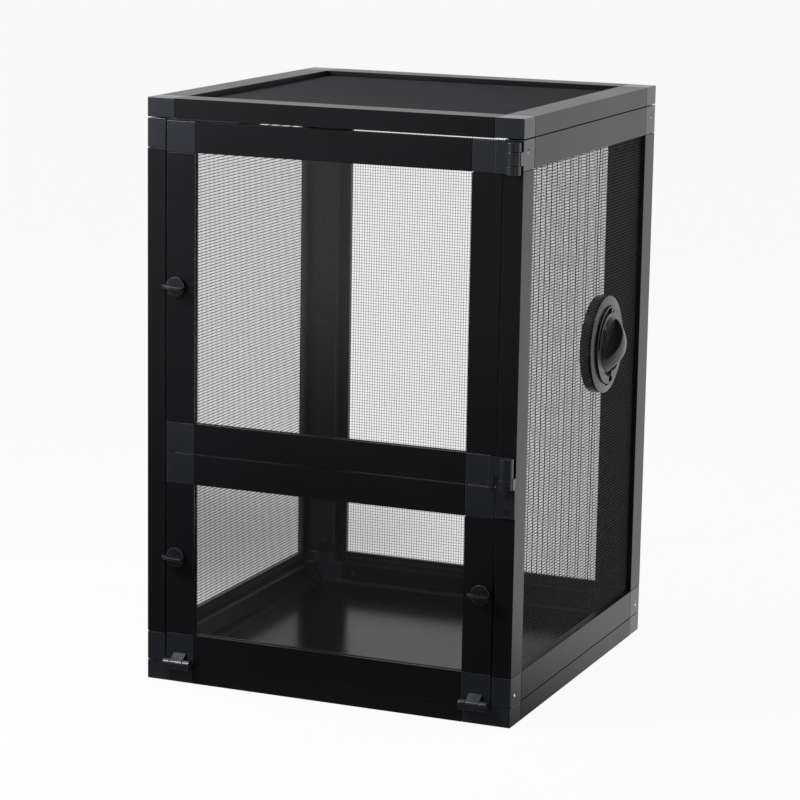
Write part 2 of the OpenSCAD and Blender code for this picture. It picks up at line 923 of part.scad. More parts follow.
module lower_stile_right() {
    color(frame_black)
        difference() {
            on_lower()
                along_left(lower_door_h, door_rail_w)
                    door_bar(lower_door_h - 2 * door_rail_w);
            shaft_hole(LATCHES[2]);
        }
}

module lower_rail_top() {
    color(frame_black)
        on_lower()
            along_high(door_w, lower_door_h, door_rail_w)
                door_bar(door_w - 2 * door_rail_w);
}

module lower_rail_bottom() {
    color(frame_black)
        on_lower()
            along_low(door_rail_w)
                door_bar(door_w - 2 * door_rail_w);
}

// The flap's own knuckle of the hinge at x, with a lug that slopes up and back from it to the flap's face
module flap_mid_knuckle(x) {
    up = flap_gap + flap_lug_h;
    back = -hd - flap_y;
    r = flap_knuckle_d / 2;
    touch = atan2(up, back) + acos(r / norm([back, up]));
    flap_knuckle(x - flap_mid_l / 2, flap_mid_l);
    translate([x - flap_mid_l / 2, flap_y, flap_z])
        rotate([90, 0, 90])
            linear_extrude(flap_mid_l)
                polygon([[0, 0], [back, flap_gap], [back, up], [r * cos(touch), r * sin(touch)]]);
}

module lower_corners() {
    color(corner_black)
        difference() {
            union() {
                on_lower()
                    at_corners(door_w, lower_door_h)
                        door_corner();
                for (s = [-1, 1])
                    flap_mid_knuckle(s * flap_x);
            }
            for (s = [-1, 1])
                flap_pin_hole(s * flap_x - flap_hinge_l / 2);
        }
}

module lower_pane() { color(clear) on_lower() door_pane(lower_door_h); }

// Knob: a disc on the door's face with a flat fin for the fingers, and a socket for the shaft
module knob(l) {
    color(knob_black)
        translate([l[0], knob_face, l[1]]) {
            difference() {
                rotate([-90, 0, 0])
                    cylinder(d = knob_d, h = knob_t);
                translate([0, knob_t - knob_socket, 0])
                    rotate([-90, 0, 0])
                        cylinder(d = shaft_d + 2 * shaft_gap, h = knob_socket + cut);
            }
            rotate([0, fin_lean, 0])
                intersection() {
                    translate([0, fin_r - fin_reach, -fin_t / 2])
                        cylinder(r = fin_r, h = fin_t);
                    translate([-fin_w / 2, -fin_reach - cut, -fin_t])
                        cube([fin_w, fin_reach + cut + knob_t / 4, 2 * fin_t]);
                }
        }
}

// Latch tongue: a shaft through the door, and a plate behind it that hangs down when released
module tongue(l) {
    shaft_y = knob_face + knob_t - knob_socket + shaft_gap;
    color(knob_black)
        translate([l[0], 0, l[1]]) {
            translate([0, shaft_y, 0])
                rotate([-90, 0, 0])
                    cylinder(d = shaft_d, h = tongue_y + tongue_t - shaft_y);
            translate([0, tongue_y, -tongue_l + tongue_w / 2])
                rotate([-90, 0, 0])
                    cylinder(d = tongue_w, h = tongue_t);
            translate([-tongue_w / 2, tongue_y, -tongue_l + tongue_w / 2])
                cube([tongue_w, tongue_t, tongue_l - tongue_w / 2]);
        }
}

module upper_knob() { knob(LATCHES[0]); }
module upper_tongue() { tongue(LATCHES[0]); }
module lower_left_knob() { knob(LATCHES[1]); }
module lower_left_tongue() { tongue(LATCHES[1]); }
module lower_right_knob() { knob(LATCHES[2]); }
module lower_right_tongue() { tongue(LATCHES[2]); }

// Flat ring between two heights
module ring(outer_d, inner_d, z0, z1) {
    translate([0, 0, z0])
        difference() {
            cylinder(d = outer_d, h = z1 - z0);
            translate([0, 0, -cut])
                cylinder(d = inner_d, h = z1 - z0 + 2 * cut);
        }
}

// The lid's locking lugs, or the notches that let them through, as blocks out to a radius
module lugs(width, r, z0, z1) {
    for (i = [0:lug_n - 1])
        rotate([0, 0, i * 360 / lug_n])
            translate([skirt_d / 2 - skirt_wall / 2, -width / 2, z0])
                cube([r - skirt_d / 2 + skirt_wall / 2, width, z1 - z0]);
}

// The bezel's ring: upright at its outer edge, then sloping up to a narrow level land round the lid
module bezel_ring() {
    inner_d = lid_d + 2 * lid_gap;
    translate([0, 0, -flange_t])
        difference() {
            union() {
                cylinder(d = port_d, h = port_bezel_t - bezel_fall);
                translate([0, 0, port_bezel_t - bezel_fall])
                    cylinder(d1 = port_d, d2 = inner_d + 2 * bezel_land, h = bezel_fall);
            }
            translate([0, 0, -cut])
                cylinder(d = inner_d, h = port_bezel_t + 2 * cut);
        }
}

// Bezel on the outside of the mesh, with the sleeve through it
module port_bezel() {
    sleeve_back = -flange_t - sleeve_l;
    color(knob_black)
        at_port()
            difference() {
                union() {
                    bezel_ring();
                    ring(sleeve_d, sleeve_bore, sleeve_back, -flange_t);
                }
                lugs(notch_w, notch_r, sleeve_back - cut, -flange_t + port_bezel_t + cut);
            }
}

// Ring screwed onto the sleeve behind the mesh
module port_back_ring() {
    color(knob_black)
        at_port()
            ring(port_d, sleeve_d + 2 * sleeve_gap, -flange_t - sleeve_l, -flange_t - mesh_t);
}

module port_seal() {
    color(rubber_black)
        at_port()
            ring(lid_d - 2 * lid_gap, sleeve_bore + lid_gap, -flange_t + seal_gap, lid_back - seal_gap);
}

// Slot in the lid's face, from an angle over a sweep
module lid_slot(start, sweep) {
    intersection() {
        ring(2 * slot_r + slot_w, 2 * slot_r - slot_w, lid_face - slot_deep, lid_face + cut);
        translate([0, 0, lid_face - slot_deep - cut])
            linear_extrude(slot_deep + 3 * cut)
                polygon(concat([[0, 0]], [
                    for (i = [0:4]) let (a = start + i * sweep / 4) lid_d * [cos(a), sin(a)]
                ]));
    }
}

// Lid: a disc in the bezel, a skirt down the sleeve, and locking lugs at the skirt's end
module port_lid() {
    color(knob_black)
        at_port() {
            difference() {
                translate([0, 0, lid_back])
                    cylinder(d = lid_d, h = lid_face - lid_back);
                lid_slot(272 - slot_sweep, slot_sweep);
                lid_slot(4 - slot_short / 2, slot_short);
                rotate([0, 0, 168])
                    translate([slot_r - slot_w / 4, 0, lid_face - slot_deep])
                        cylinder(d = lid_hole_d, h = slot_deep + cut);
            }
            ring(skirt_d, skirt_d - 2 * skirt_wall, lug_back, lid_back + cut);
            lugs(lug_w, lug_r, lug_back, lug_back + lug_t);
        }
}

// Domed grip with a finger pocket on each side, which leaves a leaning blade and a low rim. A small pointer
// stands at its foot.
module port_grip() {
    color(knob_black)
        at_port() {
            rotate([0, 0, -6])
                translate([grip_d / 2, 0, lid_face])
                    cylinder(d1 = pointer_d, d2 = pointer_d * 0.6, h = pointer_h);
            rotate([0, 0, -blade_lean])
                translate([0, 0, lid_face])
                    difference() {
                        intersection() {
                            translate([0, 0, grip_h - dome_r])
                                sphere(r = dome_r);
                            cylinder(d = grip_d + cut, h = grip_h + cut);
                        }
                        difference() {
                            translate([0, 0, grip_floor])
                                cylinder(d = grip_d - 2 * grip_rim, h = grip_h);
                            translate([-grip_d, -blade_t / 2, 0])
                                cube([2 * grip_d, blade_t, grip_h + 2 * cut]);
                        }
                    }
        }
}

top_rail_front();
top_rail_rear();
top_rail_left();
top_rail_right();
top_corners();
top_mesh();
base_rail_front();
base_rail_rear();
base_rail_left();
base_rail_right();
base_corners();
floor_sheet();
left_post_front();
left_post_rear();
left_rail_top();
left_rail_bottom();
left_corners();
left_mesh();
right_post_front();
right_post_rear();
right_rail_top();
right_rail_bottom();
right_corners();
right_mesh();
back_stile_left();
back_stile_right();
back_rail_top();
back_rail_bottom();
back_corners();
back_mesh();
mesh_cord();
frame_screws();
hinge_bracket();
upper_hinge_pins();
lower_hinge_pins();
door_catches();
upper_stile_left();
upper_stile_right();
upper_rail_top();
upper_rail_bottom();
upper_corners();
upper_pane();
lower_stile_left();
lower_stile_right();
lower_rail_top();
lower_rail_bottom();
lower_corners();
lower_pane();
upper_knob();
upper_tongue();
lower_left_knob();
lower_left_tongue();
lower_right_knob();
lower_right_tongue();
port_bezel();
port_back_ring();
port_seal();
port_lid();
port_grip();
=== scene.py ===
"""Looks of the mesh reptile cage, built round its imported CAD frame.

Metres, in the CAD's own frame: +Z up, the doors towards -Y.
"""

import json
import math

import bmesh
import bpy
import numpy as np
from mathutils import Matrix, Vector
from mathutils.geometry import intersect_point_line

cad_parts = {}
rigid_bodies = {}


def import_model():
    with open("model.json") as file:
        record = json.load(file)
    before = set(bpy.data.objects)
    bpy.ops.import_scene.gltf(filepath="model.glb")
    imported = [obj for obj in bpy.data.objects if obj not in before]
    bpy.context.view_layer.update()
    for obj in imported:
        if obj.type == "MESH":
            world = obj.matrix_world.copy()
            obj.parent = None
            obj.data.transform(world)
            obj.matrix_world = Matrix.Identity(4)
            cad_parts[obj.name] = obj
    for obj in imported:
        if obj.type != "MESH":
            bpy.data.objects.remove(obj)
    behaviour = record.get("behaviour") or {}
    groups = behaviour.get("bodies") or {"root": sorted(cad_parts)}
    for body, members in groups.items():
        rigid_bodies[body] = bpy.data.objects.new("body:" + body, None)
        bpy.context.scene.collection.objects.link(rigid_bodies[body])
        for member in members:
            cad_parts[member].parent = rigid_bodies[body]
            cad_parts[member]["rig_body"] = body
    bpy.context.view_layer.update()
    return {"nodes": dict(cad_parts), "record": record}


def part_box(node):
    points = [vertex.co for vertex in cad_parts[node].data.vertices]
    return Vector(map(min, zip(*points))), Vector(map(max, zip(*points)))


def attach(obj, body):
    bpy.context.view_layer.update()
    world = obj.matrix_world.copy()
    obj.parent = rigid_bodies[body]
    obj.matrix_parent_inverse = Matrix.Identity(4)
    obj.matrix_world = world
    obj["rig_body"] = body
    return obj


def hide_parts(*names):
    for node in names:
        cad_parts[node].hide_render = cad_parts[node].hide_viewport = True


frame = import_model()


# Camera: a long lens, a little above the cage's top edge and to the right of its doors.
# Its place and its turn come from the straight edges of the cage in the photo.
image_side = 800
focal_pixels = 2965.7
camera_place = Vector((1.1702, -2.8236, 0.8888))
camera_azimuth = math.radians(22.6151)
camera_elevation = math.radians(11.3514)
camera_roll = math.radians(0.9632)

camera_data = bpy.data.cameras.new("camera")
camera_data.sensor_width = 36
camera_data.lens = focal_pixels / image_side * camera_data.sensor_width
camera = bpy.data.objects.new("camera", camera_data)
camera.matrix_world = (
    Matrix.Translation(camera_place)
    @ Matrix.Rotation(camera_azimuth, 4, "Z")
    @ Matrix.Rotation(math.pi / 2 - camera_elevation, 4, "X")
    @ Matrix.Rotation(camera_roll, 4, "Z")
)
scene = bpy.context.scene
scene.collection.objects.link(camera)
scene.camera = camera
scene.view_settings.view_transform = "Standard"


# Frame bars: black powder-coated aluminium extrusions of the five panels and both doors.
# They are sawn square and pushed onto the corner pieces, so their edges are only just eased
# and a hairline stays open at each joint. The slit over the swing door has the sharpest edges.
bar_edge = 0.0004
slit_edge = 0.0001
slit_bars = ("top_rail_front", "upper_rail_top")
joint_gap = 0.0005
panel_joints = [(2, corner.z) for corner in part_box("left_corners")]
on_plane = 1e-5
weld_gap = 1e-6
flat_angle = math.radians(0.5)
sharp_angle = math.radians(50)
smooth_angle = math.radians(40)
slot_of = {s["node"]: s["material_slot"] for s in frame["record"]["subparts"]}


def nodes_in(slot):
    """The CAD nodes that take their finish from a slot of the record."""
    return [node for node, named in slot_of.items() if named == slot]


def solid_of(node):
    """A CAD node's solids as a welded bmesh with whole flat faces."""
    bm = bmesh.new()
    bm.from_mesh(frame["nodes"][node].data)
    bmesh.ops.remove_doubles(bm, verts=bm.verts, dist=weld_gap)
    bmesh.ops.dissolve_limit(bm, angle_limit=flat_angle, verts=bm.verts, edges=bm.edges)
    return bm


def bar_ends(node):
    """The two planes in which a bar is sawn off."""
    low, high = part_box(node)
    along = max(range(3), key=lambda axis: high[axis] - low[axis])
    return [(along, low[along]), (along, high[along])]


def open_joints(bm, joints):
    """Draws the faces that lie in joint planes back, so that a hairline opens there."""
    for axis, place in joints:
        for vert in bm.verts:
            if abs(vert.co[axis] - place) < on_plane:
                inward = sum(e.other_vert(vert).co[axis] - place for e in vert.link_edges)
                vert.co[axis] += math.copysign(joint_gap, inward) if inward else 0.0


def too_tight(edge, room):
    """Whether a corner of the edge's own faces lies nearer to the edge than rounding allows."""
    start, end = (v.co for v in edge.verts)
    for vert in {v for face in edge.link_faces for v in face.verts} - set(edge.verts):
        foot, share = intersect_point_line(vert.co, start, end)
        if -on_plane < share < 1 + on_plane and (vert.co - foot).length < room:
            return True
    return False


def ease_edges(bm, radius):
    """Rounds the sharp outer edges, and marks the rounded faces, which take a painted highlight.
    """
    painted_edge_light = bm.faces.layers.float.new("edge_wear")
    edges = [
        e
        for e in bm.edges
        if e.is_manifold and e.is_convex and e.calc_face_angle() > sharp_angle
    ]
    made = bmesh.ops.bevel(
        bm,
        geom=[e for e in edges if not too_tight(e, 2 * radius)],
        offset=radius,
        offset_type="OFFSET",
        segments=2,
        profile=0.5,
        affect="EDGES",
        clamp_overlap=False,
    )
    for face in made["faces"]:
        face[painted_edge_light] = 1.0


def finished(bm, node, suffix, material):
    """A new piece made from a bmesh, in a CAD node's place, on its body and with its slot."""
    mesh = bpy.data.meshes.new(node + suffix)
    bm.to_mesh(mesh)
    bm.free()
    if "custom_normal" in mesh.attributes:
        mesh.attributes.remove(mesh.attributes["custom_normal"])
    mesh.shade_smooth()
    mesh.set_sharp_from_angle(angle=smooth_angle)
    mesh.materials.append(material)
    piece = bpy.data.objects.new(node + suffix, mesh)
    scene.collection.objects.link(piece)
    piece.modifiers.new("flat_faces", "WEIGHTED_NORMAL").keep_sharp = True
    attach(piece, frame["nodes"][node]["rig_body"])
    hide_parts(node)


def put(tree, kind, feeds=None, **settings):
    """A shader node. Feeds gives each input a value, or the socket that drives it."""
    made = tree.nodes.new("ShaderNode" + kind)
    for name, value in settings.items():
        setattr(made, name, value)
    for socket, source in (feeds or {}).items():
        if isinstance(source, bpy.types.NodeSocket):
            tree.links.new(source, made.inputs[socket])
        else:
            made.inputs[socket].default_value = source
    return made


def combine(tree, operation, one, two):
    """The result of a Math node on two values."""
    return put(tree, "Math", {0: one, 1: two}, operation=operation).outputs["Value"]


def mix_colours(tree, share, one, two):
    """A colour between two others. The Mix node's colour sockets can only be told by number."""
    return put(tree, "Mix", {0: share, 6: one, 7: two}, data_type="RGBA").outputs[2]


def grain_group():
    """Shared finish of the solid parts: cloudy patches, fine grain and a painted highlight on the
    rounded edges.
    """
    tree = bpy.data.node_groups.new("surface_grain", "ShaderNodeTree")
    for name, kind in (
        ("Dark", "Color"),
        ("Light", "Color"),
        ("Worn", "Color"),
        ("Wear", "Float"),
        ("Patch Scale", "Float"),
        ("Grain Scale", "Float"),
        ("Smoothest", "Float"),
        ("Roughest", "Float"),
    ):
        tree.interface.new_socket(name, in_out="INPUT", socket_type="NodeSocket" + kind)
    for name, kind in (("Color", "Color"), ("Roughness", "Float"), ("Height", "Float")):
        tree.interface.new_socket(name, in_out="OUTPUT", socket_type="NodeSocket" + kind)
    given = tree.nodes.new("NodeGroupInput").outputs
    place = put(tree, "TexCoord").outputs["Object"]
    patches = put(
        tree,
        "TexNoise",
        {"Vector": place, "Scale": given["Patch Scale"], "Detail": 4.0, "Roughness": 0.6},
    ).outputs["Fac"]
    grain = put(
        tree, "TexNoise", {"Vector": place, "Scale": given["Grain Scale"], "Detail": 2.0}
    ).outputs["Fac"]
    cloud = put(tree, "MapRange", {"Value": patches, "From Min": 0.3, "From Max": 0.7})
    speck = put(tree, "MapRange", {"Value": grain, "From Min": 0.35, "From Max": 0.7})
    share = put(
        tree,
        "Mix",
        {"Factor": 0.4, "A": cloud.outputs["Result"], "B": speck.outputs["Result"]},
    ).outputs["Result"]
    base = mix_colours(tree, share, given["Dark"], given["Light"])
    # The painted highlight on the rounded edges is stronger in some patches than in others.
    patchy_edge_light = put(
        tree,
        "MapRange",
        {"Value": patches, "From Min": 0.35, "From Max": 0.65, "To Min": 0.25, "To Max": 1.0},
    ).outputs["Result"]
    edge_light_share = combine(tree, "MULTIPLY", given["Wear"], patchy_edge_light)
    colour = mix_colours(tree, edge_light_share, base, given["Worn"])
    rough = put(
        tree,
        "MapRange",
        {"Value": share, "To Min": given["Smoothest"], "To Max": given["Roughest"]},
    ).outputs["Result"]
    result = tree.nodes.new("NodeGroupOutput").inputs
    tree.links.new(colour, result["Color"])
    tree.links.new(rough, result["Roughness"])
    tree.links.new(grain, result["Height"])
    return tree


surface_grain = grain_group()


def grained(name, dark, light, painted_edge_light, rough, patch, grain, bump, ior=1.5):
    """A material of one finish: its colours, its range of roughness and the size of its grain."""
    material = bpy.data.materials.new(name)
    material.use_nodes = True
    tree = material.node_tree
    finish = put(tree, "Group", node_tree=surface_grain)
    for socket, colour in (("Dark", dark), ("Light", light), ("Worn", painted_edge_light)):
        finish.inputs[socket].default_value = (*colour, 1.0)
    # Rounded edges take the lighter edge colour, which is a painted highlight.
    edge_light_share = put(tree, "Attribute", attribute_name="edge_wear").outputs["Fac"]
    tree.links.new(edge_light_share, finish.inputs["Wear"])
    finish.inputs["Patch Scale"].default_value = 1 / patch
    finish.inputs["Grain Scale"].default_value = 1 / grain
    finish.inputs["Smoothest"].default_value, finish.inputs["Roughest"].default_value = rough
    relief = put(
        tree,
        "Bump",
        {"Strength": bump, "Distance": grain / 10, "Height": finish.outputs["Height"]},
    )
    shader = tree.nodes["Principled BSDF"]
    tree.links.new(finish.outputs["Color"], shader.inputs["Base Color"])
    tree.links.new(finish.outputs["Roughness"], shader.inputs["Roughness"])
    tree.links.new(relief.outputs["Normal"], shader.inputs["Normal"])
    shader.inputs["IOR"].default_value = ior
    return material


powder_coat = grained(
    "black_powder_coat",
    dark=(0.006, 0.006, 0.0078),
    light=(0.009, 0.009, 0.0114),
    painted_edge_light=(0.022, 0.022, 0.025),
    rough=(0.28, 0.35),
    patch=0.09,
    grain=0.0008,
    bump=0.06,
    ior=1.36,
)
for node in nodes_in("frame_metal"):
    bar = solid_of(node)
    by_door = node.startswith(("upper", "lower")) or node.endswith("front")
    open_joints(bar, bar_ends(node) + ([] if by_door else panel_joints))
    ease_edges(bar, slit_edge if node in slit_bars else bar_edge)
    finished(bar, node, "_coated", powder_coat)


# Corner pieces: black nylon mouldings whose legs plug into the bars of a panel or a door.
# The hinge knuckles and leaves are moulded on. Their edges are rounder than the bars'. The
# bracket of the swing door's lower hinge is moulded from the same nylon.
corner_edge = 0.0006

moulded_plastic = grained(
    "black_moulded_plastic",
    dark=(0.019, 0.021, 0.027),
    light=(0.025, 0.028, 0.036),
    painted_edge_light=(0.065, 0.07, 0.085),
    rough=(0.2, 0.27),
    patch=0.03,
    grain=0.0005,
    bump=0.08,
)
panels = ("top", "base", "left", "right", "back", "upper", "lower")
for node in [panel + "_corners" for panel in panels] + ["hinge_bracket"]:
    corner = solid_of(node)
    if node.startswith(("top", "left", "right", "back")):
        open_joints(corner, panel_joints)
    ease_edges(corner, corner_edge)
    finished(corner, node, "_moulded", moulded_plastic)


# Meshes: black coated wire cloth, plain weave, stretched over the panels' flanges. The uprights,
# which run front to back in the top, lie straight, and the level wires bend over and under them.
# The level ones are thicker, but not in the back, where the photo shows an even grid.
upright_radius = 0.00025
level_radius = 0.0004
back_level_radius = 0.0002
upright_pitch = 0.003
level_pitch = 0.0032
weave_depth = 0.0002
top_sag = 0.004
top_ripple = 0.0012
ripples_across = 5
ripples_along = 9
sag_step = 0.01
port_clear = 0.047

wire_coat = bpy.data.materials.new("black_wire_coat")
wire_coat.use_nodes = True
wire_shader = wire_coat.node_tree.nodes["Principled BSDF"]
wire_shader.inputs["Base Color"].default_value = (0.045, 0.045, 0.05, 1.0)
wire_shader.inputs["Roughness"].default_value = 0.5
wire_shader.inputs["IOR"].default_value = 1.2


def places(low, high, pitch):
    """Evenly spaced places of the wires between two edges."""
    count = round((high - low) / pitch)
    return low + (np.arange(count) + 0.5) * (high - low) / count


def sagging(points):
    """Wires of the top's mesh hang a little, with soft ripples towards its front right corner."""
    low, high = (np.array(c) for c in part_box("top_mesh"))
    across = (points - low) / (high - low)
    x, y = across[..., 0], across[..., 1]
    from_edge = 16 * x * (1 - x) * y * (1 - y)
    ripple = np.sin((x * ripples_across + y * ripples_along) * math.pi) * x**2 * (1 - y)
    points[..., 2] -= from_edge * (top_sag + top_ripple * ripple)
    return points


def strands(node, name, along, radius, pitch, crossings, bend, shape=None):
    """A piece of the wires that run along one axis of a mesh, cut away round the feeding port."""
    low, high = (np.array(c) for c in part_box(node))
    thin = int(np.argmin(high - low))
    across = 3 - thin - along
    port_low, port_high = (np.array(c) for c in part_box("port_back_ring"))
    hole = (port_low + port_high) / 2
    middle = (low[thin] + high[thin]) / 2
    section = [(1, 0), (0, 1), (-1, 0), (0, -1)]
    points, faces, first = [], [], 0
    for row, place in enumerate(places(low[across], high[across], pitch)):
        runs = [(low[along], high[along])]
        reach = port_clear**2 - (place - hole[across]) ** 2
        if node == "right_mesh" and reach > 0:
            half = math.sqrt(reach)
            runs = [(low[along], hole[along] - half), (hole[along] + half, high[along])]
        for start, end in runs:
            inside = (crossings > start) & (crossings < end)
            stops = np.concatenate(([start], crossings[inside], [end]))
            sides = np.where((np.nonzero(inside)[0] + row) % 2, bend, -bend)
            lift = np.concatenate(([0.0], sides, [0.0]))
            ring = np.zeros((len(stops), len(section), 3))
            ring[..., along] = stops[:, None]
            for corner, (a, b) in enumerate(section):
                ring[:, corner, across] = place + a * radius
                ring[:, corner, thin] = middle + lift + b * radius
            points.append(ring.reshape(-1, 3))
            step = np.arange(len(stops) - 1)[:, None] * len(section)
            one = step + np.arange(len(section))
            two = step + np.roll(np.arange(len(section)), -1)
            quads = np.stack((one, two, two + len(section), one + len(section)), -1)
            faces.append(quads.reshape(-1, 4) + first)
            first += len(section) * len(stops)
    points = np.concatenate(points)
    if shape:
        points = shape(points)
    mesh = bpy.data.meshes.new(name)
    mesh.from_pydata(points.tolist(), [], np.concatenate(faces).tolist())
    mesh.shade_smooth()
    mesh.materials.append(wire_coat)
    piece = bpy.data.objects.new(name, mesh)
    scene.collection.objects.link(piece)
    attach(piece, frame["nodes"][node]["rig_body"])
    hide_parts(node)


for node, upright, level in (
    ("left_mesh", 2, 1),
    ("right_mesh", 2, 1),
    ("back_mesh", 2, 0),
    ("top_mesh", 1, 0),
):
    low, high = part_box(node)
    shape = sagging if node == "top_mesh" else None
    few = places(low[upright], high[upright], sag_step) if shape else np.zeros(0)
    strands(node, node + "_uprights", upright, upright_radius, upright_pitch, few, 0.0, shape)
    many = places(low[level], high[level], upright_pitch)
    thick = back_level_radius if node == "back_mesh" else level_radius
    strands(node, node + "_weave", level, thick, level_pitch, many, weave_depth, shape)


# Mesh cord and port seal: black rubber cord, rolled into the flanges' grooves over the edge of
# each mesh, and a flat rubber ring behind the port's lid. Both stay as the CAD has them.
black_rubber = grained(
    "black_rubber",
    dark=(0.01, 0.01, 0.01),
    light=(0.018, 0.018, 0.018),
    painted_edge_light=(0.02, 0.02, 0.02),
    rough=(0.6, 0.75),
    patch=0.02,
    grain=0.0006,
    bump=0.3,
)
for node in nodes_in("cord_rubber") + nodes_in("seal_rubber"):
    rubber = frame["nodes"][node]
    rubber.data.materials.clear()
    rubber.data.materials.append(black_rubber)


# Floor sheet: a glossy black plastic sheet that lies under the base panel's flanges.
# Its shine is broken a little by wiping and fine dust.
gloss_sheet = grained(
    "black_gloss_sheet",
    dark=(0.003, 0.003, 0.0038),
    light=(0.005, 0.005, 0.006),
    painted_edge_light=(0.02, 0.02, 0.02),
    rough=(0.16, 0.2),
    patch=0.2,
    grain=0.004,
    bump=0.002,
    ior=1.36,
)
sheet = solid_of("floor_sheet")
ease_edges(sheet, bar_edge)
finished(sheet, "floor_sheet", "_glossy", gloss_sheet)


# Screws and hinge pins: pan heads with a cross recess. The side panels' are zinc plated, as the
# pins are, and sunk in their holes. Those of the back panel, the hinge bracket and the catches
# are blackened. A bright zinc ring round each sunk head, widest at the bottom, is a painted
# highlight on the hole's lower edge.
head_sides = 24
head_step = 2e-4
head_profile = ((1.0, 0.0), (1.0, 0.45), (0.95, 0.75), (0.84, 1.0))
recess_long = 0.58
recess_wide = 0.17
recess_deep = 0.6
recess_taper = 0.8
side_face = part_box("right_corners")[1].x
sunk_reach = 0.004
hole_radius = 0.0027
crescent_wide = 0.0017
crescent_deep = 0.0014


def solids_in(node):
    """The corner points of each separate solid in a CAD node."""
    bm = solid_of(node)
    met, found = set(), []
    for vert in bm.verts:
        part, waiting = [], [vert]
        while waiting:
            near = waiting.pop()
            if near not in met:
                met.add(near)
                part.append(near.co.copy())
                waiting += [e.other_vert(near) for e in near.link_edges]
        if part:
            found.append(np.array(part))
    bm.free()
    return found


def add_highlight_crescent(bm, points):
    """A ring of bright zinc in the mouth of a sunk screw's hole, widest at the bottom: a painted
    highlight.
    """
    side = math.copysign(1.0, points[:, 0].mean())
    centre = (points.min(0) + points.max(0)) / 2
    rings = []
    for inset, depth in ((0.0, 0.0), (0.0, crescent_deep), (crescent_wide, crescent_deep)):
        rings.append([])
        for i in range(head_sides):
            turn = 2 * math.pi * i / head_sides
            radius = hole_radius - inset / 2
            place = (
                side * (side_face - depth),
                centre[1] + radius * math.cos(turn),
                centre[2] + radius * math.sin(turn) + inset / 2,
            )
            rings[-1].append(bm.verts.new(place))
    for one, two in zip(rings, rings[1:] + rings[:1]):
        for i in range(head_sides):
            j = (i + 1) % head_sides
            bm.faces.new((one[i], one[j], two[j], two[i]))


def add_screw(bm, points):
    """A screw of the size and place of one CAD screw, with a rounded head and a cross recess."""
    low, high = points.min(0), points.max(0)
    axis = int(np.argmax(high - low))
    centre = (low + high) / 2
    off = np.delete(points - centre, axis, 1)
    wide = np.hypot(off[:, 0], off[:, 1])
    head = points[wide > wide.max() - head_step, axis]
    shank = wide[wide < wide.max() - head_step].max()
    out = 1.0 if head.mean() > centre[axis] else -1.0
    top, seat = (head.max(), head.min()) if out > 0 else (head.min(), head.max())
    tip = low[axis] if out > 0 else high[axis]
    tall, r = abs(top - seat), wide.max()
    direction = Vector([out if i == axis else 0.0 for i in range(3)])
    start = Vector([seat if i == axis else centre[i] for i in range(3)])
    turn = direction.to_track_quat("Z", "Y").to_matrix().to_4x4()
    stand = Matrix.Translation(start) @ turn

    def loop(radius, z):
        angles = [2 * math.pi * i / head_sides for i in range(head_sides)]
        return [
            bm.verts.new(stand @ Vector((radius * math.cos(a), radius * math.sin(a), z)))
            for a in angles
        ]

    def skin(one, two):
        for i in range(len(one)):
            j = (i + 1) % len(one)
            bm.faces.new((one[i], one[j], two[j], two[i]))

    rings = [loop(shank, -abs(tip - seat)), loop(shank, 0.0)]
    rings += [loop(across * r, up * tall) for across, up in head_profile]
    bm.faces.new(rings[0][::-1])
    for one, two in zip(rings, rings[1:]):
        skin(one, two)
    a, b = recess_wide * r, recess_long * r
    outline = [(b, -a), (b, a), (a, a), (a, b), (-a, b), (-a, a)]
    outline += [(-x, -y) for x, y in outline]
    floor = (1 - recess_deep) * tall
    mouth = [bm.verts.new(stand @ Vector((x, y, tall))) for x, y in outline]
    deep = [
        bm.verts.new(stand @ Vector((recess_taper * x, recess_taper * y, floor)))
        for x, y in outline
    ]
    skin(deep, mouth)
    bm.faces.new(deep)
    rim = [bm.edges.get((v, rings[-1][(i + 1) % head_sides])) for i, v in enumerate(rings[-1])]
    inner = [bm.edges.get((v, mouth[(i + 1) % len(mouth)])) for i, v in enumerate(mouth)]
    bmesh.ops.triangle_fill(bm, edges=rim + inner, use_beauty=True)


bright_zinc = grained(
    "bright_zinc",
    dark=(0.5, 0.5, 0.51),
    light=(0.62, 0.62, 0.64),
    painted_edge_light=(0.7, 0.7, 0.72),
    rough=(0.22, 0.34),
    patch=0.004,
    grain=0.0003,
    bump=0.1,
)
bright_zinc.node_tree.nodes["Principled BSDF"].inputs["Metallic"].default_value = 1.0
black_steel = grained(
    "blackened_steel",
    dark=(0.03, 0.03, 0.032),
    light=(0.06, 0.06, 0.063),
    painted_edge_light=(0.2, 0.2, 0.2),
    rough=(0.28, 0.4),
    patch=0.004,
    grain=0.0003,
    bump=0.15,
)
black_steel.node_tree.nodes["Principled BSDF"].inputs["Metallic"].default_value = 0.6
screws = solids_in("frame_screws")
for name, material, sunk in (("_sunk", bright_zinc, True), ("_black", black_steel, False)):
    screw_set = bmesh.new()
    for points in screws:
        if (abs(points[:, 0]).max() > side_face - sunk_reach) == sunk:
            add_screw(screw_set, points)
            # Sunk screws also get the painted highlight crescent in their hole.
            if sunk:
                add_highlight_crescent(screw_set, points)
    bmesh.ops.recalc_face_normals(screw_set, faces=screw_set.faces)
    finished(screw_set, "frame_screws", name, material)
for node in ("upper_hinge_pins", "lower_hinge_pins"):
    pins = solid_of(node)
    ease_edges(pins, bar_edge)
    finished(pins, node, "_zinc", bright_zinc)


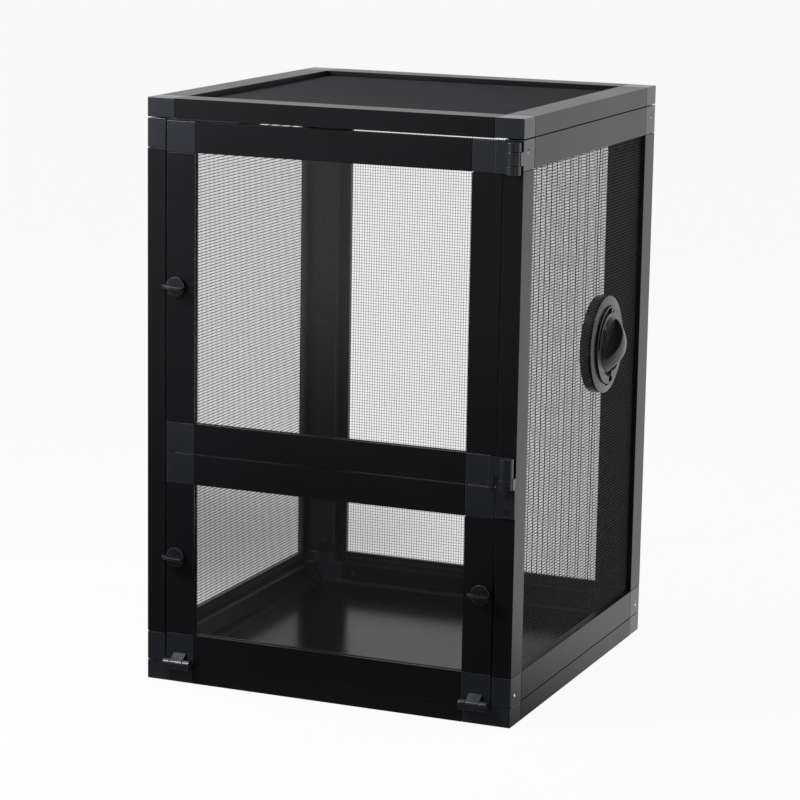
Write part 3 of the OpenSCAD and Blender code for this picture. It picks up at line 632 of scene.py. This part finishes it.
# Panes: clear sheets held in the slots of the doors' bars.
# They are left as the CAD has them, with faint waves in their surface.
clear_sheet = bpy.data.materials.new("clear_sheet")
clear_sheet.use_nodes = True
pane_tree = clear_sheet.node_tree
pane_waves = put(
    pane_tree,
    "TexNoise",
    {"Vector": put(pane_tree, "TexCoord").outputs["Object"], "Scale": 9.0, "Detail": 1.0},
)
pane_relief = put(
    pane_tree,
    "Bump",
    {"Strength": 0.05, "Distance": 0.0005, "Height": pane_waves.outputs["Fac"]},
)
pane_shader = pane_tree.nodes["Principled BSDF"]
pane_tree.links.new(pane_relief.outputs["Normal"], pane_shader.inputs["Normal"])
pane_shader.inputs["Base Color"].default_value = (0.985, 0.992, 0.99, 1.0)
pane_shader.inputs["Roughness"].default_value = 0.0
pane_shader.inputs["IOR"].default_value = 1.45
pane_shader.inputs["Transmission Weight"].default_value = 1.0
for node in nodes_in("pane"):
    pane = frame["nodes"][node]
    pane.data.materials.clear()
    pane.data.materials.append(clear_sheet)


# Latches and feeding port: black mouldings. They are the doors' knobs, with their shafts, tongues
# and the posts' catches, and the port's bezel, back ring, lid and grip. Knobs and grip are well
# rounded for the fingers, the tongues are left square.
knob_edge = 0.0006

knob_plastic = grained(
    "black_knob_plastic",
    dark=(0.015, 0.015, 0.019),
    light=(0.021, 0.021, 0.026),
    painted_edge_light=(0.12, 0.12, 0.135),
    rough=(0.22, 0.3),
    patch=0.015,
    grain=0.0005,
    bump=0.08,
)
for node in nodes_in("knob_plastic"):
    part = solid_of(node)
    if not node.endswith("tongue"):
        ease_edges(part, knob_edge if node.endswith(("knob", "grip")) else bar_edge)
    finished(part, node, "_moulded", knob_plastic)


# Stage: a white floor and a white studio, which is dim overhead and in front of the doors.
# A near soft box over the left front corner, two above and three standing strips draw the
# light lines on rounded edges.

# The floor glows, as part of the studio's light. Its fades run between two depths or distances in
# metres, the studio's between two directions. Far in front of the doors the floor grows light
# again. Seen through a pane, the floor glows less near the cage: a painted shadow of the cage.
floor_half = 40.0
front_dim = 0.04
white_share = 0.93
floor_fade = (-0.32, 0.3)
floor_return = (-1.0, -2.8)
return_glow = 0.36
shade_place = (-0.5, 0.35, 0.0)
shade_fade = (0.1, 0.55)
shade_dim = 0.5
wall_fade = (-0.35, 0.2)
ceiling_fade = (0.2, 0.8)
ceiling_dim = 0.4

floor_mesh = bpy.data.meshes.new("studio_floor")
floor_mesh.from_pydata(
    [(x * floor_half, y * floor_half, 0.0) for x, y in ((-1, -1), (1, -1), (1, 1), (-1, 1))],
    [],
    [(0, 1, 2, 3)],
)
studio_floor = bpy.data.objects.new("studio_floor", floor_mesh)
scene.collection.objects.link(studio_floor)
floor_white = bpy.data.materials.new("studio_floor_white")
floor_white.use_nodes = True
floor_mesh.materials.append(floor_white)


def ramp(tree, value, span, low, high):
    """A smooth rise from low to high while a value goes from one end of a span to the other."""
    start, end = span
    return put(
        tree,
        "MapRange",
        {"Value": value, "From Min": start, "From Max": end, "To Min": low, "To Max": high},
        interpolation_type="SMOOTHSTEP",
    ).outputs["Result"]


def seen_through(tree, path):
    """1 for a ray that came through a pane without being mirrored on its way."""
    straight = combine(tree, "LESS_THAN", path["Glossy Depth"], 0.5)
    return combine(tree, "MULTIPLY", path["Is Transmission Ray"], straight)


floor_tree = floor_white.node_tree
floor_tree.nodes.clear()
floor_path = put(floor_tree, "LightPath").outputs
floor_place = put(floor_tree, "TexCoord").outputs["Object"]
floor_depth = put(floor_tree, "SeparateXYZ", {0: floor_place}).outputs["Y"]
distance_from_painted_shadow = put(
    floor_tree, "VectorMath", {0: floor_place, 1: shade_place}, operation="DISTANCE"
).outputs["Value"]
floor_mirrored = combine(
    floor_tree,
    "ADD",
    ramp(floor_tree, floor_depth, floor_fade, front_dim, 1.0),
    ramp(floor_tree, floor_depth, floor_return, 0.0, return_glow),
)
# Seen through a pane, the floor is darker within a short distance of the cage: a painted shadow.
floor_through = put(
    floor_tree,
    "Mix",
    {
        "Factor": seen_through(floor_tree, floor_path),
        "A": floor_mirrored,
        "B": ramp(floor_tree, distance_from_painted_shadow, shade_fade, shade_dim, 1.0),
    },
).outputs["Result"]
floor_glow = put(
    floor_tree, "Mix", {"Factor": floor_path["Is Camera Ray"], "A": floor_through, "B": 1.0}
).outputs["Result"]
floor_light = put(floor_tree, "Emission", {"Strength": floor_glow})
floor_paint = put(floor_tree, "BsdfDiffuse", {"Color": (0.9, 0.9, 0.9, 1.0)})
floor_mix = put(
    floor_tree,
    "MixShader",
    {0: white_share, 1: floor_paint.outputs["BSDF"], 2: floor_light.outputs["Emission"]},
)
put(floor_tree, "OutputMaterial", {"Surface": floor_mix.outputs["Shader"]})

studio = bpy.data.worlds.new("studio")
scene.world = studio
studio.use_nodes = True
studio_tree = studio.node_tree
studio_tree.nodes.clear()
studio_path = put(studio_tree, "LightPath").outputs
studio_seen = combine(
    studio_tree, "MAXIMUM", studio_path["Is Camera Ray"], seen_through(studio_tree, studio_path)
)
studio_way = put(
    studio_tree, "SeparateXYZ", {0: put(studio_tree, "TexCoord").outputs["Generated"]}
).outputs
studio_mirrored = combine(
    studio_tree,
    "MULTIPLY",
    ramp(studio_tree, studio_way["Y"], wall_fade, front_dim, 1.0),
    ramp(studio_tree, studio_way["Z"], ceiling_fade, 1.0, ceiling_dim),
)
studio_glow = put(
    studio_tree, "Mix", {"Factor": studio_seen, "A": studio_mirrored, "B": 1.0}
).outputs["Result"]
studio_light = put(studio_tree, "Background", {"Strength": studio_glow})
put(studio_tree, "OutputWorld", {"Surface": studio_light.outputs["Background"]})

for name, place, aim, wide, tall, power in (
    ("softbox_corner", (-0.6, -0.65, 0.95), (-0.15, -0.15, 0.5), 0.4, 0.4, 8.0),
    ("softbox_overhead", (-0.9, -0.7, 2.2), (0.0, 0.0, 0.4), 0.8, 0.8, 6.0),
    ("softbox_right", (0.95, -0.11, 1.63), (0.2, 0.07, 0.34), 0.25, 0.25, 2.4),
    ("strip_left", (-1.2, -1.25, 0.75), (0.15, -0.2, 0.5), 0.25, 1.5, 1.6),
    ("strip_right", (1.45, -1.1, 0.75), (0.19, -0.2, 0.5), 0.25, 1.5, 1.6),
    ("strip_rear", (1.23, 0.8, 1.03), (0.2, 0.07, 0.34), 0.25, 0.6, 3.8),
):
    box_data = bpy.data.lights.new(name, "AREA")
    box_data.shape = "RECTANGLE"
    box_data.size = wide
    box_data.size_y = tall
    box_data.energy = power
    softbox = bpy.data.objects.new(name, box_data)
    softbox.location = place
    softbox.visible_camera = False
    softbox.visible_transmission = False
    to_aim = Vector(aim) - Vector(place)
    softbox.rotation_euler = to_aim.to_track_quat("-Z", "Y").to_euler()
    scene.collection.objects.link(softbox)
